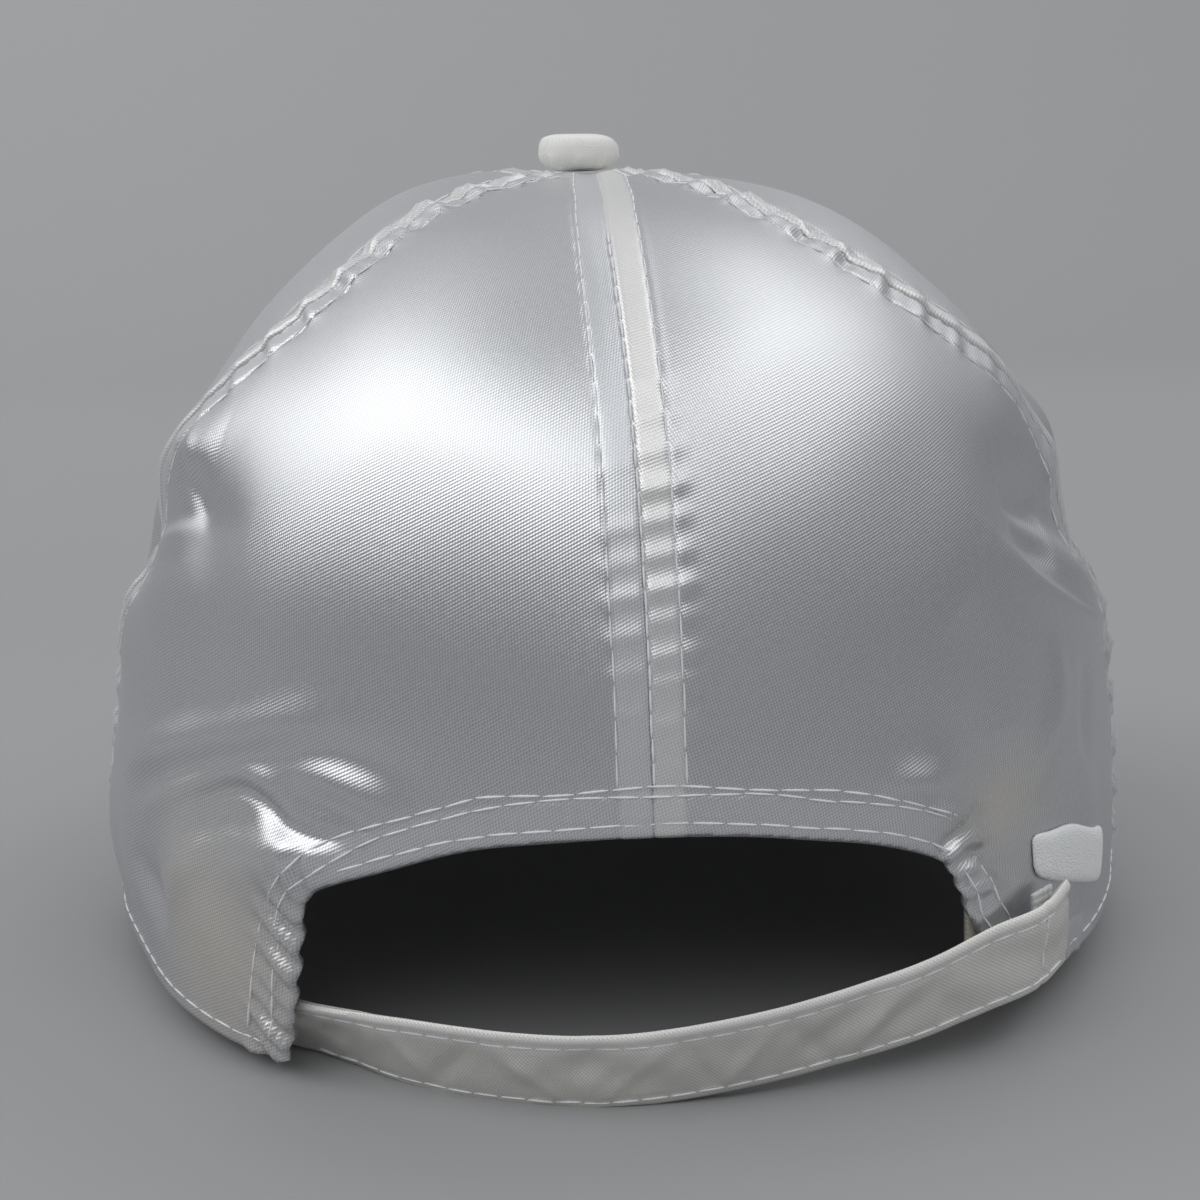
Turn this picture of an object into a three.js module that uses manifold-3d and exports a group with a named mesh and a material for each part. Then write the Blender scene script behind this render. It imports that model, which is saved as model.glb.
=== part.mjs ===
// A five-panel cap of thin satin, at rest on a level surface. Millimetres, +Z up.
// The origin is on the surface, under the middle of the whole cap. The peak points towards -Y,
// the arched back opening towards +Y, and +X is the wearer's left.
// The cloth is worked out in the crown's own frame, whose plane z = 0 is its hem, and the
// finished group is then tipped back, lifted until the peak's edges and the strap meet the
// surface, and moved so that the origin is under its middle. Around the crown, 0 degrees is the middle of the back, 90 the wearer's left and 180
// the front. Up the crown, 0 degrees is the hem and 90 the top.

import * as THREE from 'three';
import { mergeVertices } from 'three/addons/utils/BufferGeometryUtils.js';
import Module from 'manifold-3d';

const wasm = await Module();
wasm.setup();

const RADIANS = Math.PI / 180;

// Crown: half sizes at the hem, height, and the power of each profile. A lower power is fuller.
const crown = {
  halfWidth: 92.2,
  halfLength: 98.8,
  height: 127,
  leftPower: 0.9,
  rightPower: 0.81,
  backPower: 0.65,
  frontPower: 0.6,
  risePower: 0.83,
  topShift: 3,
  topShiftPower: 4,
};
const cloth = { wall: 1.2, gap: 0.3 };
const topRing = 0.993; // where the panels end under the button, as a share of the way up

// How far the hem rises above its plane: the attached peak bows the front upwards, and the
// fastened strap draws the wearer's right rear corner up.
const hemLine = [
  { around: -180, rise: 12 },
  { around: -150, rise: 6.5 },
  { around: -118, rise: 0 },
  { around: -85, rise: 1 },
  { around: -45, rise: 3.6 },
  { around: -30, rise: 3.4 },
  { around: 0, rise: 0.5 },
  { around: 30, rise: -0.4 },
  { around: 118, rise: 0 },
  { around: 150, rise: 6.5 },
  { around: 180, rise: 12 },
];
const riseFade = 2; // how quickly that rise dies away up the crown

// Seams between the panels, as degrees around the crown at each number of degrees up it.
const seams = {
  backCentre: [
    { up: 0, around: 0 },
    { up: 60, around: -0.5 },
    { up: 75, around: -4 },
    { up: 85, around: -12 },
    { up: 90, around: -30 },
  ],
  backLeft: [
    { up: 0, around: 86 },
    { up: 20, around: 80 },
    { up: 30, around: 75 },
    { up: 40, around: 70 },
    { up: 50, around: 62 },
    { up: 60, around: 57 },
    { up: 75, around: 56 },
    { up: 90, around: 50 },
  ],
  backRight: [
    { up: 0, around: -76 },
    { up: 20, around: -71.5 },
    { up: 30, around: -68.5 },
    { up: 40, around: -66 },
    { up: 50, around: -58.5 },
    { up: 60, around: -51 },
    { up: 75, around: -49 },
    { up: 90, around: -60 },
  ],
  frontLeft: [
    { up: 0, around: 130 },
    { up: 90, around: 122 },
  ],
  frontRight: [
    { up: 0, around: -130 },
    { up: 90, around: -122 },
  ],
};

// The arched back opening: its height at the middle, and how far it reaches to each side.
const arch = {
  height: 40.4,
  left: { reach: 36.3, power: 0.25 },
  right: { reach: -35.4, power: 0.3 },
};

// Folds and hollows of the cloth. Each is a smooth swell or dent along a short line: its middle
// (degrees around, height over the hem), the slant of the line, its half length, half breadth
// and depth. A positive depth stands out, a negative one sinks in.
const folds = [
  { around: 100, height: 123, slant: 0, length: 70, breadth: 5, depth: 1.6 },
  { around: 104, height: 115, slant: -12, length: 34, breadth: 11, depth: 1.2 },
  { around: 90, height: 93, slant: 10, length: 13, breadth: 6, depth: -3.2 },
  { around: 76, height: 84, slant: 15, length: 14, breadth: 6, depth: 1.8 },
  { around: 78, height: 67, slant: -20, length: 16, breadth: 6, depth: -3.2 },
  { around: 55, height: 80, slant: -50, length: 14, breadth: 7, depth: -1.6 },
  { around: 60, height: 72, slant: 28, length: 12, breadth: 4.5, depth: 1.6 },
  { around: 52, height: 58, slant: 72, length: 15, breadth: 10, depth: -2.4 },
  { around: 78, height: 54, slant: 20, length: 14, breadth: 6, depth: 1 },
  { around: 57, height: 38, slant: 20, length: 17, breadth: 7, depth: 2.4 },
  { around: 37, height: 45, slant: -30, length: 13, breadth: 6, depth: 2 },
  { around: 43, height: 36, slant: -20, length: 12, breadth: 4.5, depth: -2 },
  { around: 35, height: 34, slant: -35, length: 8, breadth: 4.5, depth: 1.2 },
  { around: 48, height: 21, slant: 72, length: 13, breadth: 6, depth: 1.6 },
  { around: 60, height: 18, slant: 80, length: 11, breadth: 7, depth: -1.8 },
  { around: 78, height: 18, slant: 80, length: 11, breadth: 7, depth: 1.4 },
  { around: 68, height: 2, slant: 0, length: 16, breadth: 9, depth: -1.8 },
  { around: -100, height: 117, slant: 0, length: 36, breadth: 9, depth: 1.3 },
  { around: -66, height: 96, slant: -30, length: 16, breadth: 9, depth: 1.2 },
  { around: -78, height: 83, slant: -10, length: 14, breadth: 7, depth: 2.2 },
  { around: -62, height: 72, slant: 25, length: 16, breadth: 7, depth: -2.6 },
  { around: -80, height: 67, slant: 0, length: 15, breadth: 7, depth: -2.4 },
  { around: -50, height: 75, slant: 50, length: 11, breadth: 7, depth: -1.4 },
  { around: -62, height: 61, slant: 40, length: 12, breadth: 5, depth: 1.6 },
  { around: -80, height: 50, slant: 0, length: 16, breadth: 9, depth: 1.8 },
  { around: -27, height: 43, slant: 18, length: 9, breadth: 5, depth: 1.2 },
  { around: -37, height: 37, slant: 60, length: 13, breadth: 7, depth: -1.6 },
  { around: -52, height: 30, slant: 76, length: 15, breadth: 7, depth: 1.2 },
];
const foldMillimetresPerDegree = 1.6;
const foldFade = { above: 86.5, over: 5 }; // degrees up: the cloth lies smooth under the button

// Peak: a stiff curved board in cloth, sewn under the front of the hem.
const peak = {
  reach: 58,
  length: 70,
  thickness: 3.2,
  tip: 2.5,
  splay: 40,
  fall: 0.2,
  fullness: 2.6,
  roundness: 0.6,
};

const button = { radius: 7.1, height: 6.6, shoulder: 3.4, seat: 0.35 };

const sweatband = { height: 27, foot: 0.6, wall: 1, gap: 0.45, start: 47, end: 327.6 };

// Closure strap: its cloth, and the line of its upper edge from the left end to the free end.
// Stand off is measured outwards from the crown's outer face, and lean tips the lower edge in.
const strap = { thickness: 1.6 };
const strapLine = [
  { around: 45.5, standOff: -1.7, top: 8.2, width: 12, lean: 22 },
  { around: 37, standOff: -2.2, top: 8.8, width: 14.4, lean: 30 },
  { around: 23.7, standOff: -1.4, top: 10.9, width: 15.6, lean: 22 },
  { around: 5, standOff: -0.6, top: 11.2, width: 14.8, lean: 18 },
  { around: -9, standOff: -0.6, top: 13, width: 14.8, lean: 17 },
  { around: -18.5, standOff: -1, top: 14.2, width: 14.4, lean: 13 },
  { around: -26.5, standOff: 1, top: 16.4, width: 14.4, lean: 9 },
  { around: -33, standOff: 2.9, top: 18.9, width: 14.4, lean: 4 },
  { around: -38, standOff: 5.4, top: 20.4, width: 14, lean: 2 },
  { around: -42.8, standOff: 4.6, top: 21.6, width: 14, lean: 0 },
];

// Hook-and-loop closure: the loop patch sewn on the crown, and the hook patch on the strap's
// free end. Each has its middle and half sizes in degrees around and millimetres up.
const loopTape = { around: -48.6, height: 18.4, halfReach: 8, halfHeight: 5, slope: 0.5 };
const hookTape = { around: -40.9, height: 12.2, halfReach: 1.6, halfHeight: 5, slope: 0 };
const tapeLayers = { loopInner: 0.3, loopOuter: 1.3, hookInner: 1.6, hookOuter: 2.2 };

// How the cap rests: tipped back by this angle, and lifted until only the cloth's lowest edges
// press on the surface, which flattens them. The peak makes the whole cap's middle lie forwards
// of the crown's.
const rest = { tilt: 3.8, lift: 8.6, back: 34.5 };

// A value read off a table of rows by one column, smoothly between the rows.
function along(rows, key, column, at) {
  const falling = rows[0][key] > rows[rows.length - 1][key];
  const ordered = falling ? [...rows].reverse() : rows;
  const last = ordered.length - 1;
  if (at <= ordered[0][key]) return ordered[0][column];
  if (at >= ordered[last][key]) return ordered[last][column];
  const i = ordered.findIndex((row, k) => k < last && at <= ordered[k + 1][key]);
  const rowAt = (k) => ordered[THREE.MathUtils.clamp(k, 0, last)];
  const [before, low, high, after] = [rowAt(i - 1), rowAt(i), rowAt(i + 1), rowAt(i + 2)];
  const span = high[key] - low[key];
  const t = (at - low[key]) / span;
  const slopeLow = ((high[column] - before[column]) / (high[key] - before[key] || 1)) * span;
  const slopeHigh = ((after[column] - low[column]) / (after[key] - low[key] || 1)) * span;
  const t2 = t * t;
  const t3 = t2 * t;
  return (
    (2 * t3 - 3 * t2 + 1) * low[column] +
    (t3 - 2 * t2 + t) * slopeLow +
    (3 * t2 - 2 * t3) * high[column] +
    (t3 - t2) * slopeHigh
  );
}

const signed = (around) => ((((around + 180) % 360) + 360) % 360) - 180;
const hemRise = (around) => along(hemLine, 'around', 'rise', signed(around));

// The crown's smooth outer form, before any fold.
function crownPoint(around, up) {
  const cosUp = Math.cos(up * RADIANS);
  const sinUp = Math.sin(up * RADIANS);
  const leftward = Math.sin(around * RADIANS);
  const backward = Math.cos(around * RADIANS);
  const widthPower = leftward > 0 ? crown.leftPower : crown.rightPower;
  const lengthPower = backward > 0 ? crown.backPower : crown.frontPower;
  return new THREE.Vector3(
    crown.halfWidth * cosUp ** widthPower * leftward + crown.topShift * sinUp ** crown.topShiftPower,
    crown.halfLength * cosUp ** lengthPower * backward,
    crown.height * sinUp ** crown.risePower + hemRise(around) * (1 - sinUp) ** riseFade,
  );
}

function crownNormal(around, up) {
  const step = 0.05;
  const high = Math.min(up + step, 89.9);
  const low = Math.max(high - 2 * step, 0);
  const rise = crownPoint(around, high).sub(crownPoint(around, low));
  const turn = crownPoint(around + step, up).sub(crownPoint(around - step, up));
  return rise.cross(turn).normalize();
}

function foldDepth(around, up, height) {
  let depth = 0;
  for (const fold of folds) {
    const side = (signed(around) - fold.around) * foldMillimetresPerDegree;
    const rise = height - fold.height;
    const cos = Math.cos(fold.slant * RADIANS);
    const sin = Math.sin(fold.slant * RADIANS);
    const lengthways = (side * cos + rise * sin) / fold.length;
    const across = (rise * cos - side * sin) / fold.breadth;
    depth += fold.depth * Math.exp(-(lengthways ** 2) - across ** 2);
  }
  return depth * THREE.MathUtils.clamp((foldFade.above - up) / foldFade.over, 0, 1);
}

// A point a given distance outside the crown's cloth, folds included.
function clothPoint(around, up, outwards) {
  const point = crownPoint(around, up);
  const offset = foldDepth(around, up, point.z) + outwards;
  return point.addScaledVector(crownNormal(around, up), offset);
}

// The surface that the cap rests on flattens any cloth that would pass below it.
function onSurface(point) {
  const lowest = (point.y * Math.sin(rest.tilt * RADIANS) - rest.lift) / Math.cos(rest.tilt * RADIANS);
  point.z = Math.max(point.z, lowest);
  return point;
}

const upOfHeight = (height) => {
  const share = THREE.MathUtils.clamp(height / crown.height, 0, 1);
  return Math.asin(share ** (1 / crown.risePower)) / RADIANS;
};
const upOfShare = (share) => upOfHeight(crown.height * Math.sin(share * 90 * RADIANS));

// One closed wall of cloth over a grid. at(i, j, face) gives a point: face 0 is the outer side
// and face 1 the inner one.
function wall(columns, rows, at) {
  const positions = [];
  for (let i = 0; i <= columns; i += 1) {
    for (let j = 0; j <= rows; j += 1) {
      for (const face of [0, 1]) positions.push(...onSurface(at(i, j, face)));
    }
  }
  const id = (i, j, face) => (i * (rows + 1) + j) * 2 + face;
  const triangles = [];
  const corner = (k) => new THREE.Vector3().fromArray(positions, 3 * k);
  const apart = (a, b) => corner(a).distanceToSquared(corner(b));
  const quad = (a, b, c, d) => {
    if (apart(a, c) <= apart(b, d)) triangles.push([a, b, c], [a, c, d]);
    else triangles.push([a, b, d], [b, c, d]);
  };
  for (let i = 0; i < columns; i += 1) {
    for (let j = 0; j < rows; j += 1) {
      quad(id(i, j, 0), id(i, j + 1, 0), id(i + 1, j + 1, 0), id(i + 1, j, 0));
      quad(id(i, j, 1), id(i + 1, j, 1), id(i + 1, j + 1, 1), id(i, j + 1, 1));
    }
    quad(id(i, 0, 0), id(i + 1, 0, 0), id(i + 1, 0, 1), id(i, 0, 1));
    quad(id(i, rows, 0), id(i, rows, 1), id(i + 1, rows, 1), id(i + 1, rows, 0));
  }
  for (let j = 0; j < rows; j += 1) {
    quad(id(0, j, 0), id(0, j, 1), id(0, j + 1, 1), id(0, j + 1, 0));
    quad(id(columns, j, 0), id(columns, j + 1, 0), id(columns, j + 1, 1), id(columns, j, 1));
  }
  const volume = triangles.reduce((sum, [a, b, c]) => sum + corner(a).dot(corner(b).cross(corner(c))), 0);
  if (volume < 0) triangles.forEach((triangle) => triangle.reverse());
  const geometry = new THREE.BufferGeometry();
  geometry.setAttribute('position', new THREE.Float32BufferAttribute(positions, 3));
  geometry.setIndex(triangles.flat());
  geometry.computeVertexNormals();
  return geometry;
}

// Half the sewing gap at a place on the crown, as degrees around it.
function halfGap(around, up) {
  const point = crownPoint(around, up);
  return cloth.gap / 2 / Math.hypot(point.x, point.y) / RADIANS;
}

// A panel between two seams, over an even grid from the hem to the ring under the button.
function panel(seamA, seamB, columns, rows) {
  const inwards = Math.sign(seamB[0].around - seamA[0].around);
  return wall(columns, rows, (i, j, face) => {
    const up = upOfShare(topRing * (j / rows));
    const a = along(seamA, 'up', 'around', up);
    const b = along(seamB, 'up', 'around', up);
    const inset = inwards * halfGap(a, up);
    const around = a + inset + (b - a - 2 * inset) * (i / columns);
    return clothPoint(around, up, face === 0 ? 0 : -cloth.wall);
  });
}

// What the arched opening takes out of the back panels: a block that reaches through the cloth
// from the arch's edge down past the hem.
function archBlock(columns, rows) {
  const reachOut = 9;
  const below = -12;
  return wall(columns, rows, (i, j, face) => {
    const turn = ((2 * i) / columns - 1) * 90 * RADIANS;
    const side = turn > 0 ? arch.left : arch.right;
    const around = side.reach * Math.abs(Math.sin(turn));
    const top = arch.height * Math.max(Math.cos(turn), 0) ** (2 * side.power);
    const height = below + (top - below) * (j / rows);
    const up = upOfHeight(height);
    const point = crownPoint(around, up);
    point.addScaledVector(crownNormal(around, up).setZ(0).normalize(), face === 0 ? reachOut : -reachOut);
    return point.setZ(height);
  });
}

function solidOf(geometry) {
  const bare = geometry.clone();
  bare.deleteAttribute('normal');
  const merged = mergeVertices(bare, 1e-4);
  return new wasm.Manifold(
    new wasm.Mesh({
      numProp: 3,
      vertProperties: Float32Array.from(merged.attributes.position.array),
      triVerts: Uint32Array.from(merged.index.array),
    }),
  );
}

function cut(geometry, block) {
  const mesh = solidOf(geometry).subtract(solidOf(block)).getMesh();
  const result = new THREE.BufferGeometry();
  result.setAttribute('position', new THREE.Float32BufferAttribute(mesh.vertProperties, 3));
  result.setIndex([...mesh.triVerts]);
  result.computeVertexNormals();
  return result;
}

// The peak's plan and fall at a place across it (-1 to 1) and a share of the way forwards.
function peakPoint(across, forwards, face) {
  const around = 180 + peak.reach * across;
  const root = crownPoint(around, 0);
  const normal = crownNormal(around, 0);
  const spread = (1 - Math.abs(across) ** peak.fullness) ** peak.roundness;
  const length = peak.tip + (peak.length - peak.tip) * spread;
  const heading = peak.splay * across * RADIANS;
  const ahead = new THREE.Vector3(-Math.sin(heading), -Math.cos(heading), 0);
  const point = root.clone().addScaledVector(normal, -cloth.wall / 2);
  point.addScaledVector(ahead, length * forwards);
  const end = crownPoint(180 - peak.reach, 0);
  const bowed = hemRise(180);
  const bend = bowed / (end.x * end.x);
  const aheadOfEnds = Math.max(end.y - point.y, 0);
  const arched = bowed - bend * point.x * point.x - peak.fall * aheadOfEnds;
  const archedRoot = bowed - bend * root.x * root.x - peak.fall * Math.max(end.y - root.y, 0);
  const edge = face === 0 ? -cloth.gap : -cloth.gap - peak.thickness;
  point.z = root.z + (arched - archedRoot) + edge;
  return point;
}

function peakBoard(columns, rows) {
  return wall(columns, rows, (i, j, face) => {
    const turn = (i / columns - 0.5) * Math.PI;
    return peakPoint(Math.sin(turn), j / rows, face);
  });
}

// A dome of cloth over a metal shell, turned about its own axis.
function buttonDome() {
  const profile = [new THREE.Vector2(0, 0), new THREE.Vector2(button.radius * 0.9, 0)];
  profile.push(new THREE.Vector2(button.radius, button.shoulder * 0.45));
  const domeSteps = 5;
  for (let k = 0; k < domeSteps; k += 1) {
    const turn = (k / domeSteps) * 90 * RADIANS;
    const radius = button.radius * Math.cos(turn) ** 0.8;
    profile.push(new THREE.Vector2(radius, button.shoulder + (button.height - button.shoulder) * Math.sin(turn)));
  }
  profile.push(new THREE.Vector2(0, button.height));
  return new THREE.LatheGeometry(profile, 24);
}

function sweatbandWall(columns, rows) {
  return wall(columns, rows, (i, j, face) => {
    const around = sweatband.start + (sweatband.end - sweatband.start) * (i / columns);
    const up = upOfHeight(sweatband.foot + (sweatband.height - sweatband.foot) * (j / rows));
    const depth = cloth.wall + sweatband.gap + (face === 0 ? 0 : sweatband.wall);
    return clothPoint(around, up, -depth);
  });
}

function strapBand(columns, rows) {
  const first = strapLine[0].around;
  const last = strapLine[strapLine.length - 1].around;
  return wall(columns, rows, (i, j, face) => {
    const around = first + (last - first) * (i / columns);
    const top = along(strapLine, 'around', 'top', around);
    const lean = along(strapLine, 'around', 'lean', around) * RADIANS;
    const out = along(strapLine, 'around', 'standOff', around) - (face === 0 ? 0 : strap.thickness);
    const up = upOfHeight(top);
    const outwards = crownNormal(around, up).setZ(0).normalize();
    const down = along(strapLine, 'around', 'width', around) * (j / rows);
    const point = crownPoint(around, up).addScaledVector(outwards, out - down * Math.sin(lean));
    return point.setZ(top - down * Math.cos(lean));
  });
}

function tapePatch(tape, inner, outer, columns, rows) {
  return wall(columns, rows, (i, j, face) => {
    const side = 2 * (i / columns) - 1;
    const around = tape.around + tape.halfReach * side;
    const height = tape.height + tape.slope * tape.halfReach * side + tape.halfHeight * (2 * (j / rows) - 1);
    return clothPoint(around, upOfHeight(height), face === 0 ? outer : inner);
  });
}

const satin = { color: 0xe4e5e7, roughness: 0.34, metalness: 0 };
const ivorySatin = { color: 0xdedfd8, roughness: 0.42, metalness: 0 };
const cottonTape = { color: 0xd8d2c4, roughness: 0.9, metalness: 0 };
const nylonTape = { color: 0xe6eceb, roughness: 0.8, metalness: 0 };

const cap = new THREE.Group();
cap.rotation.x = -rest.tilt * RADIANS;
cap.position.set(0, rest.back, rest.lift);

function add(name, geometry, finish) {
  const mesh = new THREE.Mesh(geometry, new THREE.MeshStandardMaterial(finish));
  mesh.name = name;
  cap.add(mesh);
  return mesh;
}

const panelRows = 26;
const opening = archBlock(40, 3);
const frontRight = seams.frontRight.map(({ up, around }) => ({ up, around: around + 360 }));

add('back_panel_left', cut(panel(seams.backCentre, seams.backLeft, 22, panelRows), opening), satin);
add('back_panel_right', cut(panel(seams.backCentre, seams.backRight, 20, panelRows), opening), satin);
add('side_panel_left', panel(seams.backLeft, seams.frontLeft, 9, panelRows), satin);
add('side_panel_right', panel(seams.backRight, seams.frontRight, 10, panelRows), satin);
add('front_panel', panel(seams.frontLeft, frontRight, 14, panelRows), satin);
add('peak', peakBoard(26, 6), satin);
add('sweatband', sweatbandWall(60, 3), cottonTape);
add('closure_strap', strapBand(38, 3), ivorySatin);
add('loop_tape', tapePatch(loopTape, tapeLayers.loopInner, tapeLayers.loopOuter, 8, 2), nylonTape);
add('hook_tape', tapePatch(hookTape, tapeLayers.hookInner, tapeLayers.hookOuter, 2, 2), nylonTape);

const topButton = add('top_button', buttonDome(), ivorySatin);
topButton.rotation.x = 90 * RADIANS;
topButton.position.set(crown.topShift, 0, crown.height + button.seat);

export default cap;
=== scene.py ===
import math

import bmesh
import bpy
import numpy as np
from mathutils import Euler, Matrix, Vector


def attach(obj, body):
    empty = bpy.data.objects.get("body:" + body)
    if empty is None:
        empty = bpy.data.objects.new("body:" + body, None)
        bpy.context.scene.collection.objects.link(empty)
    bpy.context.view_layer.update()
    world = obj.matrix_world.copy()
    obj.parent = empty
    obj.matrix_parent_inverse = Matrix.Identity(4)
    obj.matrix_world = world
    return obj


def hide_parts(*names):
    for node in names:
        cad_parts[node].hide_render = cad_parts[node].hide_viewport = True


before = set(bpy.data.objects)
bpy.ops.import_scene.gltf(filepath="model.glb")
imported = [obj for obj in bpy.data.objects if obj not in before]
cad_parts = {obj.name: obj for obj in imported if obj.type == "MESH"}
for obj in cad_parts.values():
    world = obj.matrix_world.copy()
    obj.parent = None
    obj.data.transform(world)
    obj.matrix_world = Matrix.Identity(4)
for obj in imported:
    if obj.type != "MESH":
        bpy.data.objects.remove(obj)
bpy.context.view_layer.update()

# ---------------------------------------------------------------- back panels
# Two panels of thin white satin make the back of the crown. They are sewn together at the
# centre back, dip to the arched opening, and crumple at the sides where the crown is slack.
# The crown is worked out in millimetres over its own hem, then tipped back as the cap rests.
HALF_WIDTH, HALF_LENGTH, CROWN_HEIGHT = 92.2, 98.8, 127.0
# How full each side's profile is: a lower power is fuller.
LEFT_POWER, RIGHT_POWER, BACK_POWER, FRONT_POWER, RISE_POWER = 0.9, 0.81, 0.65, 0.6, 0.83
TOP_SHIFT = 3        # the button sits this far to the wearer's left
PER_DEGREE = 1.6     # millimetres along the cloth for a degree around, low on the crown
PANELS_END = 0.993   # the share of the way up at which the panels go under the button
# Where the hem rises: degrees around, millimetres.
HEM_RISE = [(-210, 6.5), (-180, 12), (-150, 6.5), (-118, 0), (-85, 1), (-45, 3.6), (-30, 3.4),
            (0, 0.5), (30, -0.4), (118, 0), (150, 6.5), (180, 12), (210, 6.5)]
# How the seams run: degrees up the crown, degrees around.
SEAM_PATHS = {
    "centre": [(0, 0), (55, -0.2), (68, -0.9), (76, -2.6), (85, -9), (90, -26)],
    "left": [(0, 86), (20, 80), (30, 75), (40, 70), (50, 62), (60, 57), (75, 56), (90, 50)],
    "right": [(0, -76), (20, -71.5), (30, -68.5), (40, -66), (50, -58.5), (60, -51), (75, -49),
              (90, -60)],
    "front_left": [(0, 130), (90, 122)],
    "front_right": [(0, -130), (90, -122)],
}
# Each fold: degrees around, millimetres up, slant, half length, half breadth, depth.
FOLDS = [
    (100, 123, 0, 70, 5, 1.6), (104, 115, -12, 34, 11, 1.2), (90, 93, 10, 13, 6, -3.2),
    (76, 84, 15, 14, 6, 1.8), (78, 67, -20, 16, 6, -3.2), (59, 77, -15, 13, 5, -0.2),
    (60, 72, 28, 12, 4.5, 0.3), (52, 58, 72, 15, 10, -0.9), (78, 54, 20, 14, 6, 1),
    (57, 38, 20, 17, 7, 0.5), (37, 45, -30, 13, 6, 1.1), (43, 36, -20, 12, 4.5, -2),
    (35, 34, -35, 8, 4.5, 1.2), (48, 21, 72, 13, 6, 1.6), (60, 18, 80, 11, 7, -1.8),
    (78, 18, 80, 11, 7, 1.4), (68, 2, 0, 16, 9, -1.8), (-100, 117, 0, 36, 9, 1.3),
    (-66, 96, -30, 16, 9, 1.2), (-78, 83, -10, 14, 7, 2.2), (-62, 72, 25, 16, 7, -2.6),
    (-80, 67, 0, 15, 7, -2.4), (-50, 75, 50, 11, 7, -1.4), (-62, 61, 40, 12, 5, 1.6),
    (-80, 50, 0, 16, 9, 1.8), (-27, 43, 18, 9, 5, 1.2), (-37, 37, 60, 13, 7, -1.6),
    (-52, 30, 76, 15, 7, 1.2), (64, 90, -10, 20, 10, 1.6),
]
# Finer creases over those folds: the (degrees around, millimetres up) that each passes through,
# how broad it is above and below that line, and how far it stands out.
CREASES = [
    ([(88, 58), (82, 63), (74, 68.4), (66, 72.6), (59, 75.6), (56, 77)], 1.3, 3.2, 0.8),
    ([(66, 83), (61, 81), (58, 78.5), (56, 77)], 2.4, 1.8, -0.9),
    ([(72, 86.5), (64, 86), (57, 87)], 5, 4, 1.3),
    ([(70, 74), (62, 76), (54, 77), (46, 77)], 4.5, 9, -0.8),
    ([(66, 90), (63, 84), (62, 79)], 1.8, 1.8, 0.4),
    ([(44, 68), (43.8, 60), (43.6, 51)], 0.9, 0.9, -0.2),
    ([(68, 33), (60, 38.6), (52, 43.4), (44, 47.4), (37, 51.6), (31, 55)], 4.5, 3.6, 1.7),
    ([(68, 29), (60, 35), (51, 41.4), (42, 45.8), (36, 48.4), (30, 49.2), (23, 47.6)], 3.2, 3, -1.3),
    ([(64, 27.5), (56, 34), (49, 39.4), (44, 42.8), (39.8, 43.8), (35.8, 41.8), (31, 39.8), (27, 38)],
     1.9, 1.8, 0.65),
    ([(50, 36), (45, 39.6), (41.5, 41), (38.4, 40), (35.4, 37.8), (31, 37.6), (27, 37.4)],
     1.4, 1.6, -1.3),
    ([(47, 31.6), (42, 33), (35, 33.2), (29, 33.4), (24, 34)], 6, 9, 2),
    ([(35, 46.2), (31, 45.6), (27.5, 44.4), (23.5, 42.6)], 3.4, 2.2, 1.1),
    ([(42, 36), (46, 31), (52, 23), (57, 14)], 6, 3.2, 0.9),
    ([(66, 20), (61, 15), (57, 11)], 3.6, 3.6, -1.2),
    ([(-22, 44), (-26, 43), (-29, 41.5)], 2.4, 2.6, 0.8),
    ([(-27.5, 39.6), (-30, 37.6), (-32.5, 35.6)], 1.8, 2, 1.4),
    ([(-27, 33.6), (-31, 31.6), (-36, 24.6), (-38.5, 22)], 1.6, 1.3, -1.2),
    ([(-48, 79), (-54, 75), (-59, 71)], 7, 2.4, -1.6),
    ([(-43, 74), (-46, 69.6), (-49.5, 65), (-54, 60.6), (-60, 55.6), (-68, 51.6)], 1.5, 4.2, 1.3),
    ([(-47, 74), (-51, 70), (-56, 66)], 3, 2.4, -1.2),
    ([(-70, 84), (-66, 78), (-63, 72)], 2.6, 2.6, 0.9),
    ([(-34, 66), (-37, 56), (-37, 46)], 6, 6, -1),
    ([(-50, 57), (-48, 48), (-45, 42), (-41, 34)], 3.2, 3.2, 1),
    ([(-58, 50), (-55, 42), (-52, 34)], 3.4, 3.4, -1),
    ([(104, 70), (112, 60), (118, 48)], 5, 5, -0.8),
    ([(98, 40), (106, 34), (116, 30)], 4, 5, 0.9),
    ([(124, 92), (116, 84), (108, 80)], 5, 4, -0.7),
    ([(100, 22), (108, 18), (118, 16)], 4, 4, -0.8),
    ([(-96, 78), (-104, 70), (-114, 64)], 5, 5, -0.8),
    ([(-92, 36), (-102, 30), (-116, 28)], 4, 5, 0.9),
    ([(-98, 54), (-108, 50), (-120, 52)], 5, 5, -0.8),
    ([(-126, 96), (-118, 88), (-108, 84)], 5, 4, -0.7),
    ([(140, 30), (152, 24), (165, 22)], 5, 6, -0.6),
    ([(-140, 34), (-152, 27), (-166, 22)], 5, 6, -0.6),
    ([(136, 88), (144, 96), (150, 104)], 5, 5, 0.5),
    ([(-138, 70), (-148, 78), (-152, 90)], 5, 5, -0.5),
]


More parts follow.
